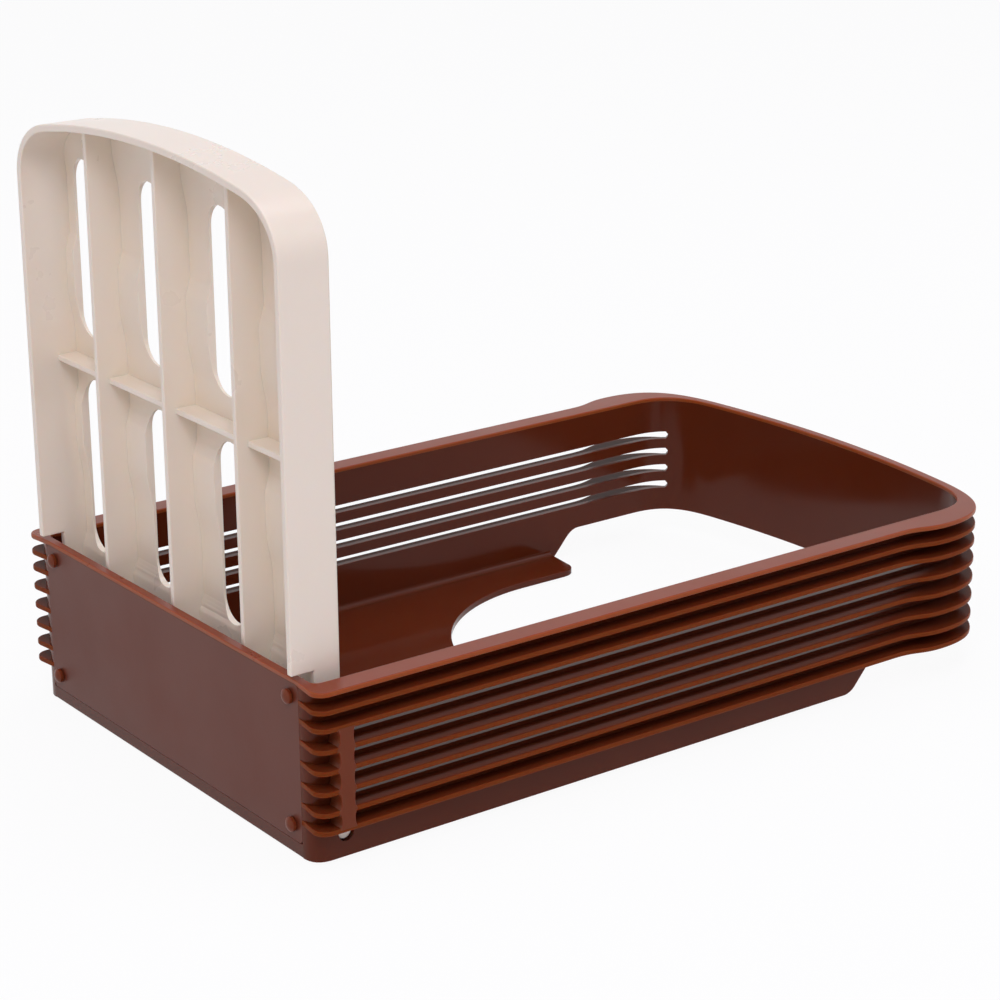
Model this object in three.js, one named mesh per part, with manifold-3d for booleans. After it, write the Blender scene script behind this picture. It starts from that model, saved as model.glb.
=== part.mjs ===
// A folding bread slicer guide: an open ribbed tray with knife slots in both long walls,
// and a loaf board that swings up from the tray on two stub pins.
//
// Millimetres, +Z up. X runs along the tray, from the closed end that carries the board
// to the far end. The exported group has its origin at the middle of the footprint.

import * as THREE from "three";
import { mergeVertices } from "three/addons/utils/BufferGeometryUtils.js";
import Module from "manifold-3d";

const wasm = await Module();
wasm.setup();

// Driving sizes of the tray
const trayLength = 240; // from the tips of the end studs to the far edge of the rim
const trayHeight = 47.3;
const cavityHalfWidth = 68.4; // middle plane to the inside of a long wall
const sideWall = 1.8;
const sideRibDepth = 4.8; // how far a rib stands out of a long wall
const farRibDepth = 0.9; // how far a rib stands out of the far wall
const ribThickness = 1.4;
const floorThickness = 2;
const endWall = 1.1; // behind the end panel
const endCornerRadius = 5.3;
const ribCornerRadius = 3.6;
const ribNose = 0.9; // ribs stand this far ahead of the end panel as they wrap round
const cavityCornerRadius = 2.5;

// Knife slots and the rib levels they lie between
const slotPitch = 5.6; // one slice step
const upperRibStep = 4.75; // spacing of the two ribs above the slots
const lowerRibStep = 4.9; // spacing from the last slotted rib to the lowest one
const slotHeight = 2.4;
const slotDrop = 1.4; // rib centre down to the upper edge of its slot
const slotCount = 4;
const slotFarInset = 11.6; // far end of the tray to the end of a slot
const guardBarStart = 6.8; // near edge of the upright bar that closes the slots
const guardBarWidth = 4.7;

// Far end of the tray
const farBow = 3.8; // how far the far wall bows out over its middle
const farBowInset = 18; // inside of a long wall to where the far wall starts to bow
const bendInset = 24.3; // far end of the tray to where the long walls start to bend
const bulge = 2.7; // how far the ribs swell outwards at the far corners
const bulgeStartInset = 45;
const bulgePeakInset = 29;
const skirtLength = 182.3; // how far the wall reaches down to the bottom
const skirtSlant = 8;
const skirtRounding = 2.5;

// Opening in the tray floor
const floorLedge = 14.6; // inside of a long wall to the opening
const openingReach = 53.5; // length of its rounded end
const openingStraight = 16.3; // straight sides between the rounded end and the tabs
const tabRounding = 5.5;
const tabEndSlope = 1;

// End panel and its studs
const studHeadHeight = 1.6;
const studSideHeight = 0.8; // straight side of a head, under its dome
const studHeadRadius = 1.95;
const studShankRadius = 1.2;
const panelThickness = 1;
const panelSideInset = 5.7; // outside of a long wall to the edge of the panel
const panelBottom = 4;
const panelCornerRadius = 1.5;
const studInsetSide = 3.8;
const studInsetLow = 4;
const studInsetHigh = 3.6;
const rimLip = 1; // thickness of the rim over the panel

// Loaf board
const boardRise = 164.6; // pivot to the top of the arch
const boardSidePlay = 3.4; // between the board and a long wall
const boardFlange = 2;
const boardCornerRadius = 16;
const archRise = 4.2;
const pivotToFace = 3.05; // pivot to the bread face
const pivotToStop = 6.75; // pivot to the rib edges that lean on the end wall
const pivotToNotch = 4.75; // pivot to the flange edge below the rim
const floorPlay = 1.35; // folded board to the tray floor
const webThick = 2.3;
const webThin = 0.7;
const waveDrop = 39.5; // top of the board to the first step of the wavy back
const wavePitch = 42.75;
const waveCount = 4;
const boardRibThickness = 1.6;
const boardOuterBay = 30; // side of the board to the middle of the nearest rib
const shelfSetback = 7.9;
const shelfThickness = 1.6;
const shelfRise = 93.8; // pivot to the upper face of the cross shelf
const ventWidth = 12.6;
const ventLength = 49.2;
const ventFromShelf = 6;
const notchPlay = 1.7; // under the notch, above the rim

// Hinge pins
const pinRadius = 2;
const pinCollarRadius = 3.4;
const pinBossRadius = 3;
const pinGrip = 4.6; // how much of a pin sits inside the board
const pinRecess = 0.9; // pin end below the outside of the wall

// Fits
const contactGap = 0.3;
const overrun = 2; // how far every cutter runs past the face it cuts
const weldDistance = 1e-4; // corners closer than this are one corner

// Smoothness of curves, in segments
const curveSteps = 4;
const bowSteps = 8;
const roundSteps = 16;

// Handle lengths that make a cubic curve follow a quarter circle
const roundShare = 0.55;
const farCornerShare = 0.66; // fuller, for the far corners
const swellShare = 0.5;

// Shares of a wave, down from its step: full thickness until the first, thin after the second
const waveFullShare = 0.3;
const waveThinShare = 0.58;

// Places worked out from the driving sizes
const wallHalfWidth = cavityHalfWidth + sideWall;
const ribHalfWidth = wallHalfWidth + sideRibDepth;
const panelHalfWidth = wallHalfWidth - panelSideInset;
const farBowHalfWidth = cavityHalfWidth - farBowInset;
const openingHalfWidth = cavityHalfWidth - floorLedge;
const openingCentre = skirtLength - tabEndSlope - tabRounding - openingStraight;
const panelFace = studHeadHeight + contactGap;
const recessFace = panelFace + panelThickness + contactGap;
const cavityStart = recessFace + endWall;
const wallFarEnd = trayLength - farRibDepth;
const cavityFarEnd = wallFarEnd - sideWall;
const guardBarEnd = guardBarStart + guardBarWidth;
const boardHalfWidth = cavityHalfWidth - boardSidePlay;
const boardRibPitch = boardHalfWidth - boardOuterBay;
const pivotX = cavityStart + contactGap + pivotToStop;
const pivotZ = floorThickness + floorPlay + pivotToFace;
const boardBack = pivotX + pivotToFace;
const boardTop = pivotZ + boardRise;
const boardBottom = pivotZ - pivotToFace;
const boardStopFace = pivotX - pivotToStop;
const notchFace = pivotX - pivotToNotch;
const shelfTop = pivotZ + shelfRise;
const ribLevels = ribCentres();
const lowestRibUnderside = ribLevels[ribLevels.length - 1] - ribThickness / 2;
const panelTop = trayHeight - rimLip - contactGap;

const brown = { color: 0x5a2413, roughness: 0.32, metalness: 0 };
const ivory = { color: 0xe9dccb, roughness: 0.38, metalness: 0 };

/** Heights of the rib centres, from the rim down. */
function ribCentres() {
  const rim = trayHeight - ribThickness / 2;
  const levels = [rim, rim - upperRibStep, rim - 2 * upperRibStep];
  for (let slot = 0; slot < slotCount; slot += 1) {
    levels.push(levels[levels.length - 1] - slotPitch);
  }
  levels.push(levels[levels.length - 1] - lowerRibStep);
  return levels;
}

/** Turns a closed geometry into a solid that can be joined and cut. */
function solidOf(geometry) {
  const bare = geometry.index ? geometry.toNonIndexed() : geometry.clone();
  bare.deleteAttribute("normal");
  bare.deleteAttribute("uv");
  const merged = mergeVertices(bare, weldDistance);
  return new wasm.Manifold(
    new wasm.Mesh({
      numProp: 3,
      vertProperties: merged.attributes.position.array,
      triVerts: new Uint32Array(merged.index.array),
    }),
  );
}

/** Makes the named mesh of a finished solid. */
function meshOf(name, solid, look) {
  const { vertProperties, triVerts, numProp } = solid.getMesh();
  const position = new Float32Array((vertProperties.length / numProp) * 3);
  for (let v = 0; v < position.length / 3; v += 1) {
    for (let k = 0; k < 3; k += 1) {
      position[3 * v + k] = vertProperties[numProp * v + k];
    }
  }
  const geometry = new THREE.BufferGeometry();
  geometry.setAttribute("position", new THREE.BufferAttribute(position, 3));
  geometry.setIndex([...triVerts]);
  geometry.computeVertexNormals();
  const mesh = new THREE.Mesh(geometry, new THREE.MeshStandardMaterial(look));
  mesh.name = name;
  return mesh;
}

/** Extrudes a plan outline between two heights. */
function upright(shape, low, high, segments = curveSteps) {
  const geometry = new THREE.ExtrudeGeometry(shape, {
    depth: high - low,
    bevelEnabled: false,
    curveSegments: segments,
  });
  return solidOf(geometry.translate(0, 0, low));
}

/** Extrudes a side outline, drawn in X and Z, across the tray. */
function across(shape, left, right, segments = curveSteps) {
  const geometry = new THREE.ExtrudeGeometry(shape, {
    depth: right - left,
    bevelEnabled: false,
    curveSegments: segments,
  });
  const frame = new THREE.Matrix4().makeBasis(
    new THREE.Vector3(1, 0, 0),
    new THREE.Vector3(0, 0, 1),
    new THREE.Vector3(0, -1, 0),
  );
  return solidOf(geometry.applyMatrix4(frame).translate(0, right, 0));
}

/** Extrudes an end outline, drawn in Y and Z, along the tray. */
function along(shape, near, far, segments = curveSteps) {
  const geometry = new THREE.ExtrudeGeometry(shape, {
    depth: far - near,
    bevelEnabled: false,
    curveSegments: segments,
  });
  const frame = new THREE.Matrix4().makeBasis(
    new THREE.Vector3(0, 1, 0),
    new THREE.Vector3(0, 0, 1),
    new THREE.Vector3(1, 0, 0),
  );
  return solidOf(geometry.applyMatrix4(frame).translate(near, 0, 0));
}

/** A box between two corners. */
function block(low, high) {
  const size = high.map((value, axis) => value - low[axis]);
  const centre = high.map((value, axis) => (value + low[axis]) / 2);
  return solidOf(new THREE.BoxGeometry(...size).translate(...centre));
}

/** A round bar that runs across the tray through the pivot. */
function pivotBar(radius, left, right) {
  const bar = new THREE.CylinderGeometry(radius, radius, right - left, roundSteps);
  return solidOf(bar.translate(pivotX, (left + right) / 2, pivotZ));
}

/** A round bar that runs along the tray at one stud. */
function studBar(radius, near, far, side, height) {
  const bar = new THREE.CylinderGeometry(radius, radius, far - near, roundSteps);
  return solidOf(bar.rotateZ(Math.PI / 2).translate((near + far) / 2, side, height));
}

/** Outline of a polygon given by its corners. */
function polygon(corners) {
  return new THREE.Shape(corners.map(([x, y]) => new THREE.Vector2(x, y)));
}

/** Draws the bowed far wall of a plan outline, from the +Y corner to the -Y corner. */
function drawFarWall(shape, bendStart, half, farEnd) {
  const edge = farEnd - farBow;
  const lean = (2 * farBow) / farBowHalfWidth;
  const run = farCornerShare * (edge - bendStart);
  const rise = farCornerShare * (half - farBowHalfWidth);
  shape.bezierCurveTo(
    bendStart + run, half,
    edge - lean * rise, farBowHalfWidth + rise,
    edge, farBowHalfWidth,
  );
  shape.quadraticCurveTo(farEnd + farBow, 0, edge, -farBowHalfWidth);
  shape.bezierCurveTo(
    edge - lean * rise, -farBowHalfWidth - rise,
    bendStart + run, -half,
    bendStart, -half,
  );
}

/** Plan outline with straight long sides: the wall's outside or the cavity. */
function wallOutline(near, half, corner, farEnd) {
  const bendStart = trayLength - bendInset;
  const shape = new THREE.Shape();
  shape.moveTo(near, -half + corner);
  shape.lineTo(near, half - corner);
  shape.quadraticCurveTo(near, half, near + corner, half);
  shape.lineTo(bendStart, half);
  drawFarWall(shape, bendStart, half, farEnd);
  shape.lineTo(near + corner, -half);
  shape.quadraticCurveTo(near, -half, near, -half + corner);
  return shape;
}

/** Plan outline of the ribs, which swell outwards before the far corners. */
function ribOutline() {
  const nose = panelFace - ribNose;
  const cornerX = nose + ribCornerRadius;
  const cornerY = ribHalfWidth - ribCornerRadius;
  const swellStart = trayLength - bulgeStartInset;
  const swellEnd = trayLength - bulgePeakInset;
  const swellMiddle = swellStart + swellShare * (swellEnd - swellStart);
  const swollen = ribHalfWidth + bulge;
  const handle = (1 - roundShare) * ribCornerRadius;
  const shape = new THREE.Shape();
  shape.moveTo(panelFace, -panelHalfWidth);
  shape.lineTo(panelFace, panelHalfWidth);
  shape.lineTo(nose, cornerY);
  shape.bezierCurveTo(
    nose, ribHalfWidth - handle,
    nose + handle, ribHalfWidth,
    cornerX, ribHalfWidth,
  );
  shape.lineTo(swellStart, ribHalfWidth);
  shape.bezierCurveTo(swellMiddle, ribHalfWidth, swellMiddle, swollen, swellEnd, swollen);
  drawFarWall(shape, swellEnd, swollen, trayLength);
  shape.bezierCurveTo(swellMiddle, -swollen, swellMiddle, -ribHalfWidth, swellStart, -ribHalfWidth);
  shape.lineTo(cornerX, -ribHalfWidth);
  shape.bezierCurveTo(
    nose + handle, -ribHalfWidth,
    nose, handle - ribHalfWidth,
    nose, -cornerY,
  );
  return shape;
}

/** The opening in the floor: a rounded end, straight sides and two rounded tabs. */
function floorOpening() {
  const tabEnd = skirtLength - tabEndSlope;
  const shape = new THREE.Shape();
  shape.moveTo(openingCentre, -openingHalfWidth);
  shape.absellipse(
    openingCentre, 0, openingReach, openingHalfWidth, -Math.PI / 2, Math.PI / 2, true,
  );
  shape.lineTo(tabEnd - tabRounding, openingHalfWidth);
  shape.quadraticCurveTo(tabEnd, openingHalfWidth, tabEnd, openingHalfWidth + tabRounding);
  shape.lineTo(skirtLength, cavityHalfWidth);
  shape.lineTo(skirtLength + overrun, cavityHalfWidth);
  shape.lineTo(skirtLength + overrun, -cavityHalfWidth);
  shape.lineTo(skirtLength, -cavityHalfWidth);
  shape.lineTo(tabEnd, -openingHalfWidth - tabRounding);
  shape.quadraticCurveTo(tabEnd, -openingHalfWidth, tabEnd - tabRounding, -openingHalfWidth);
  return upright(shape, -overrun, floorThickness + overrun, bowSteps);
}

/** Everything below the lowest rib, past the slanted end of the skirt. */
function skirtCut() {
  const slope = skirtSlant / lowestRibUnderside;
  const half = ribHalfWidth + bulge + overrun;
  const cornerX = skirtLength + skirtSlant;
  const shape = new THREE.Shape();
  shape.moveTo(skirtLength - slope * overrun, -overrun);
  shape.lineTo(trayLength + overrun, -overrun);
  shape.lineTo(trayLength + overrun, lowestRibUnderside);
  shape.lineTo(cornerX + skirtRounding, lowestRibUnderside);
  shape.quadraticCurveTo(
    cornerX, lowestRibUnderside,
    cornerX - slope * skirtRounding, lowestRibUnderside - skirtRounding,
  );
  return across(shape, -half, half);
}

/** The four knife slots, cut through both long walls and round at their far ends. */
function knifeSlots() {
  const near = guardBarEnd - guardBarWidth / 2;
  const far = trayLength - slotFarInset;
  const half = ribHalfWidth + bulge + overrun;
  const r = slotHeight / 2;
  const cuts = [];
  for (let slot = 0; slot < slotCount; slot += 1) {
    const top = ribLevels[2 + slot] - slotDrop;
    const shape = new THREE.Shape();
    shape.moveTo(near, top - slotHeight);
    shape.lineTo(far - r, top - slotHeight);
    shape.absarc(far - r, top - r, r, -Math.PI / 2, Math.PI / 2, false);
    shape.lineTo(near, top);
    cuts.push(across(shape, -half, half));
  }
  return cuts;
}

/** Upright bars that close the knife slots at the board end. */
function guardBars() {
  const low = ribLevels[ribLevels.length - 1];
  const high = ribLevels[2];
  const inside = wallHalfWidth - sideWall / 2;
  return [
    block([guardBarStart, inside, low], [guardBarEnd, ribHalfWidth, high]),
    block([guardBarStart, -ribHalfWidth, low], [guardBarEnd, -inside, high]),
  ];
}

/** Side and height of each end stud. */
function studPlaces() {
  const side = panelHalfWidth - studInsetSide;
  const low = panelBottom + studInsetLow;
  const high = panelTop - studInsetHigh;
  return [[side, high], [side, low], [-side, high], [-side, low]];
}

/** The ribbed tray. */
function makeTray() {
  const walls = wallOutline(panelFace, wallHalfWidth, endCornerRadius, wallFarEnd);
  const cavity = wallOutline(cavityStart, cavityHalfWidth, cavityCornerRadius, cavityFarEnd);
  let tray = upright(walls, 0, trayHeight, bowSteps);
  for (const level of ribLevels) {
    const top = level + ribThickness / 2;
    tray = tray.add(upright(ribOutline(), top - ribThickness, top, bowSteps));
  }
  tray = tray.subtract(upright(cavity, floorThickness, trayHeight + overrun, bowSteps));
  tray = tray.subtract(skirtCut()).subtract(floorOpening());
  for (const cut of knifeSlots()) {
    tray = tray.subtract(cut);
  }
  for (const bar of guardBars()) {
    tray = tray.add(bar);
  }
  const recessHalf = panelHalfWidth + contactGap;
  const recess = block(
    [-overrun, -recessHalf, panelBottom - contactGap],
    [recessFace, recessHalf, panelTop + contactGap],
  );
  tray = tray.subtract(recess);
  for (const [side, height] of studPlaces()) {
    const hole = studShankRadius + contactGap;
    tray = tray.subtract(studBar(hole, -overrun, cavityStart + overrun, side, height));
  }
  const reach = ribHalfWidth + overrun;
  return tray.subtract(pivotBar(pinRadius + contactGap, -reach, reach));
}

/** The flat panel that closes the end of the tray. */
function makeEndPanel() {
  const half = panelHalfWidth;
  const r = panelCornerRadius;
  const shape = new THREE.Shape();
  shape.moveTo(r - half, panelBottom);
  shape.lineTo(half - r, panelBottom);
  shape.quadraticCurveTo(half, panelBottom, half, panelBottom + r);
  shape.lineTo(half, panelTop - r);
  shape.quadraticCurveTo(half, panelTop, half - r, panelTop);
  shape.lineTo(r - half, panelTop);
  shape.quadraticCurveTo(-half, panelTop, -half, panelTop - r);
  shape.lineTo(-half, panelBottom + r);
  shape.quadraticCurveTo(-half, panelBottom, r - half, panelBottom);
  let panel = along(shape, panelFace, panelFace + panelThickness);
  for (const [side, height] of studPlaces()) {
    const hole = studShankRadius + contactGap;
    panel = panel.subtract(studBar(hole, -overrun, cavityStart, side, height));
  }
  return panel;
}

/** One domed stud, whose head is a foot when the guide stands on its end. */
function makeStud(side, height) {
  const domeHeight = studHeadHeight - studSideHeight;
  const domeRadius = (studHeadRadius ** 2 + domeHeight ** 2) / (2 * domeHeight);
  const halfAngle = Math.asin(studHeadRadius / domeRadius);
  const profile = [new THREE.Vector2(0, cavityStart - contactGap)];
  profile.push(new THREE.Vector2(studShankRadius, cavityStart - contactGap));
  profile.push(new THREE.Vector2(studShankRadius, studHeadHeight));
  profile.push(new THREE.Vector2(studHeadRadius, studHeadHeight));
  for (let step = 0; step <= curveSteps; step += 1) {
    const angle = halfAngle * (1 - step / curveSteps);
    const radius = step === curveSteps ? 0 : domeRadius * Math.sin(angle);
    profile.push(new THREE.Vector2(radius, domeRadius * (1 - Math.cos(angle))));
  }
  const lathe = new THREE.LatheGeometry(profile.reverse(), roundSteps);
  return solidOf(lathe.rotateZ(-Math.PI / 2).translate(0, side, height));
}

/** Front outline of the board or of the space inside its flange, in Y and Z. */
function boardOutline(inset) {
  const half = boardHalfWidth - inset;
  const bottom = boardBottom + inset;
  const top = boardTop - inset;
  const radius = boardCornerRadius - inset;
  const shoulder = half - radius;
  const shoulderTop = top - archRise;
  const sideTop = shoulderTop - radius;
  const handle = roundShare * radius;
  const lean = (2 * archRise) / shoulder;
  const shape = new THREE.Shape();
  shape.moveTo(-half, bottom);
  shape.lineTo(half, bottom);
  shape.lineTo(half, sideTop);
  shape.bezierCurveTo(
    half, sideTop + handle,
    shoulder + handle, shoulderTop - lean * handle,
    shoulder, shoulderTop,
  );
  shape.quadraticCurveTo(0, top + archRise, -shoulder, shoulderTop);
  shape.bezierCurveTo(
    -shoulder - handle, shoulderTop - lean * handle,
    -half, sideTop + handle,
    -half, sideTop,
  );
  return shape;
}

/** Cuts that give the web its stepped back: each wave thins out towards the next step. */
function waveCuts() {
  const front = boardBack - webThick;
  const deep = boardBack - webThin;
  const half = boardHalfWidth - boardFlange;
  const cuts = [];
  for (let wave = 0; wave < waveCount; wave += 1) {
    const low = boardTop - waveDrop - wave * wavePitch;
    const thinTop = low + (1 - waveThinShare) * wavePitch;
    const slopeTop = low + (1 - waveFullShare) * wavePitch;
    const shape = polygon([
      [front - overrun, low],
      [deep, low],
      [deep, thinTop],
      [front, slopeTop],
      [front - overrun, slopeTop],
    ]);
    cuts.push(across(shape, -half, half));
  }
  return cuts;
}

/** One of the long round-ended vents in the web. */
function ventCut(side, low) {
  const r = ventWidth / 2;
  const high = low + ventLength;
  const shape = new THREE.Shape();
  shape.moveTo(side + r, low + r);
  shape.lineTo(side + r, high - r);
  shape.absarc(side, high - r, r, 0, Math.PI, false);
  shape.lineTo(side - r, low + r);
  shape.absarc(side, low + r, r, Math.PI, 2 * Math.PI, false);
  return along(shape, boardBack - webThick - overrun, boardBack + overrun);
}

/** All vents, two rows of four. */
function ventCuts() {
  const cuts = [];
  for (const column of [-1.5, -0.5, 0.5, 1.5]) {
    const side = column * boardRibPitch;
    cuts.push(ventCut(side, shelfTop + ventFromShelf));
    cuts.push(ventCut(side, shelfTop - ventFromShelf - ventLength));
  }
  return cuts;
}

/** Ribs and the cross shelf behind the web, still square at their ends. */
function boardStiffeners() {
  const back = boardBack - webThin / 2;
  const half = boardHalfWidth - boardFlange / 2;
  const pieces = [
    block([shelfSetback, -half, shelfTop - shelfThickness], [back, half, shelfTop]),
  ];
  for (const column of [-1, 0, 1]) {
    const side = column * boardRibPitch;
    const low = side - boardRibThickness / 2;
    pieces.push(
      block(
        [boardStopFace, low, boardBottom],
        [back, low + boardRibThickness, boardTop],
      ),
    );
  }
  return pieces;
}

/** Everything outside the rounded foot of the board, as seen from the side. */
function footCut() {
  const r = pivotToFace;
  const backX = boardBack;
  const shape = new THREE.Shape();
  shape.moveTo(boardStopFace - overrun, boardBottom - overrun);
  shape.lineTo(backX + overrun, boardBottom - overrun);
  shape.lineTo(backX + overrun, pivotZ);
  shape.lineTo(backX, pivotZ);
  shape.absarc(pivotX, pivotZ, r, 0, -Math.PI / 2, true);
  shape.lineTo(boardStopFace + r, boardBottom);
  shape.absarc(boardStopFace + r, pivotZ, r, -Math.PI / 2, -Math.PI, true);
  shape.lineTo(boardStopFace - overrun, pivotZ);
  const half = boardHalfWidth + overrun;
  return across(shape, -half, half);
}

/** The loaf board: a flanged frame, a vented web, ribs and a cross shelf. */
function makeBoard() {
  const half = boardHalfWidth;
  const blank = along(boardOutline(0), 0, boardBack, bowSteps);
  const hollow = along(boardOutline(boardFlange), -overrun, boardBack - webThick, bowSteps);
  const notch = block(
    [-overrun, -half - overrun, boardBottom - overrun],
    [notchFace, half + overrun, trayHeight + notchPlay],
  );
  let board = blank.subtract(hollow).subtract(notch);
  const inside = along(boardOutline(boardFlange), -overrun, boardBack + overrun, bowSteps);
  for (const cut of waveCuts()) {
    board = board.subtract(cut.intersect(inside));
  }
  for (const piece of boardStiffeners()) {
    board = board.add(piece.intersect(blank));
  }
  for (const cut of ventCuts()) {
    board = board.subtract(cut);
  }
  const gripInside = half - pinGrip;
  board = board.add(pivotBar(pinBossRadius, gripInside, half - boardFlange / 2));
  board = board.add(pivotBar(pinBossRadius, boardFlange / 2 - half, -gripInside));
  board = board.subtract(footCut());
  const inner = gripInside - contactGap;
  board = board.subtract(pivotBar(pinRadius + contactGap, inner, half + overrun));
  return board.subtract(pivotBar(pinRadius + contactGap, -half - overrun, -inner));
}

/** One stub pin with its collar, on the +Y side or the -Y side. */
function makeHingePin(side) {
  const inner = boardHalfWidth - pinGrip;
  const outer = wallHalfWidth - pinRecess;
  const collarIn = boardHalfWidth + contactGap;
  const collarOut = cavityHalfWidth - contactGap;
  const place = (from, to) => (side > 0 ? [from, to] : [-to, -from]);
  const shank = pivotBar(pinRadius, ...place(inner, outer));
  return shank.add(pivotBar(pinCollarRadius, ...place(collarIn, collarOut)));
}

const guide = new THREE.Group();
guide.position.x = -trayLength / 2;
guide.add(meshOf("tray", makeTray(), brown));
guide.add(meshOf("end_panel", makeEndPanel(), brown));
studPlaces().forEach(([side, height], index) => {
  guide.add(meshOf(`end_stud_${index + 1}`, makeStud(side, height), brown));
});
guide.add(meshOf("board", makeBoard(), ivory));
guide.add(meshOf("hinge_pin_left", makeHingePin(1), ivory));
guide.add(meshOf("hinge_pin_right", makeHingePin(-1), ivory));

export default guide;
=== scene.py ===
"""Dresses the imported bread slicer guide: a ribbed brown tray and an ivory loaf board."""

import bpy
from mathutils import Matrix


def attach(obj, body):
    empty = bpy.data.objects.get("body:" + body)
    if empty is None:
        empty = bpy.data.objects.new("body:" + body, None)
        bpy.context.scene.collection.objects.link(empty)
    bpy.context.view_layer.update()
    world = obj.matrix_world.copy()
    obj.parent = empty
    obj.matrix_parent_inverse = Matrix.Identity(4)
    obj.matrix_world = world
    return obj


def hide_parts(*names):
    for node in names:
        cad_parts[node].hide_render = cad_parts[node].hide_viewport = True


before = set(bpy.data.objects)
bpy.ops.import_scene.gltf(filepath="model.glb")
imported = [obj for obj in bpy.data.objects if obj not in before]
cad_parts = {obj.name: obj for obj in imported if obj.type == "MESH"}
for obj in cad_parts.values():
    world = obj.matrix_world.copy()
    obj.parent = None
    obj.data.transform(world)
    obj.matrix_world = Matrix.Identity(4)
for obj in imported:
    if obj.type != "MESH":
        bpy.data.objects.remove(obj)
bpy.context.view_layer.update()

import logging
import math
from dataclasses import dataclass, replace
from enum import Enum
from functools import cache
from typing import Callable, Iterable, Sequence

import bmesh
import bpy
from bmesh.types import BMEdge, BMesh, BMVert
from bpy.types import Material, Node, NodeOutputs, NodeSocket, NodeTree, Object
from mathutils import Matrix, Vector

logging.basicConfig(level=logging.INFO, format="%(message)s")
LOG = logging.getLogger("bread_slicer_guide")

MM = 0.001
TRAY_LENGTH = 240.0
PIVOT = (11.35, 6.4)

# Tolerances in millimetres: for a cut, for a weld and for telling whether a vertex is at a place
CUT = 0.0001
WELD = 0.001
NEAR = 0.01

# Edges that bend more than this are rounded, and faces meet there without smooth shading
SHARP = math.radians(32)

# Handles of a rounded corner as a share of its radius, its segments, and sides of a small circle
HANDLE = 0.55
CORNER_STEPS = 8
SIDES = 32

Plan = tuple[float, float]
Triple = tuple[float, float, float]


class Body(Enum):
    """The two bodies that pieces ride on."""

    TRAY = "tray_body"
    BOARD = "board_body"


class Side(Enum):
    """The two long sides, with the sign of Y there."""

    LEFT = 1.0
    RIGHT = -1.0


# Curves


def curve(handles: Sequence[Plan], steps: int, until: float = 1.0) -> list[Plan]:
    """Points of a quadratic or cubic curve, its start left out.

    Args:
        handles: Start, one or two handles, and end.
        steps: Number of segments.
        until: Share of the curve that is drawn.

    Returns:
        One point per segment, the last one at the end of what is drawn.
    """
    last = len(handles) - 1
    points = []
    for step in range(1, steps + 1):
        t = until * step / steps
        weights = [math.comb(last, k) * (1 - t) ** (last - k) * t**k for k in range(last + 1)]
        points.append(tuple(sum(w * p[i] for w, p in zip(weights, handles)) for i in (0, 1)))
    return points


def arc(centre: Plan, radius: float, start: float, end: float, steps: int) -> list[Plan]:
    """Points of a circular arc, both ends included.

    Args:
        centre: Middle of the circle.
        radius: Radius in millimetres.
        start: First angle in degrees.
        end: Last angle in degrees.
        steps: Number of segments.

    Returns:
        The points in order.
    """
    angles = [math.radians(start + (end - start) * k / steps) for k in range(steps + 1)]
    return [(centre[0] + radius * math.cos(t), centre[1] + radius * math.sin(t)) for t in angles]


# Mesh work, in millimetres from the tips of the end studs


def chain(bm: BMesh, points: Iterable[Sequence[float]], closed: bool = False) -> list:
    """Lays a row of vertices joined by edges.

    Args:
        bm: Mesh that takes them.
        points: Places in millimetres.
        closed: Joins the last vertex to the first.

    Returns:
        The new edges.
    """
    verts = [bm.verts.new(point) for point in points]
    pairs = list(zip(verts, verts[1:]))
    if closed:
        pairs.append((verts[-1], verts[0]))
    return [bm.edges.new(pair) for pair in pairs]


def vertices(geom: Iterable[object]) -> list[BMVert]:
    """Picks the vertices out of what a mesh operator hands back.

    Args:
        geom: Vertices, edges and faces.

    Returns:
        The vertices alone.
    """
    return [item for item in geom if isinstance(item, BMVert)]


def drawn(bm: BMesh, edges: list, offset: Sequence[float]) -> list:
    """Draws a row of edges out into a strip of faces.

    Args:
        bm: Mesh that holds the edges.
        edges: Edges to draw out.
        offset: How far the new row moves.

    Returns:
        The new row of edges.
    """
    out = bmesh.ops.extrude_edge_only(bm, edges=edges)["geom"]
    row = set(vertices(out))
    bmesh.ops.translate(bm, vec=Vector(offset), verts=list(row))
    new = [item for item in out if isinstance(item, BMEdge)]
    return [edge for edge in new if edge.verts[0] in row and edge.verts[1] in row]


def prism(points: Sequence[Sequence[float]], offset: Sequence[float]) -> BMesh:
    """A flat outline extruded into a closed solid.

    Args:
        points: Corners of the outline in millimetres.
        offset: Direction and depth of the extrusion.

    Returns:
        The new mesh.
    """
    bm = bmesh.new()
    face = bm.faces.new([bm.verts.new(point) for point in points])
    out = bmesh.ops.extrude_face_region(bm, geom=[face], use_keep_orig=True)["geom"]
    bmesh.ops.translate(bm, vec=Vector(offset), verts=vertices(out))
    bmesh.ops.recalc_face_normals(bm, faces=bm.faces)
    return bm


def across(pivot: Plan, middle: float, length: float, radius: float,
           segments: int = SIDES) -> BMesh:
    """A round bar that lies across the tray.

    Args:
        pivot: Its axis in X and Z.
        middle: Its middle in Y.
        length: Its length.
        radius: Its radius.
        segments: Sides of its circle.

    Returns:
        The new mesh.
    """
    bm = bmesh.new()
    bmesh.ops.create_cone(
        bm, cap_ends=True, segments=segments, radius1=radius, radius2=radius, depth=length
    )
    place = Matrix.Translation((pivot[0], middle, pivot[1]))
    turn = Matrix.Rotation(math.pi / 2, 4, "X")
    bmesh.ops.transform(bm, matrix=place @ turn, verts=bm.verts)
    return bm


def everything(bm: BMesh) -> list:
    """Returns all vertices, edges and faces of a mesh in one list."""
    return [*bm.verts, *bm.edges, *bm.faces]


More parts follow.
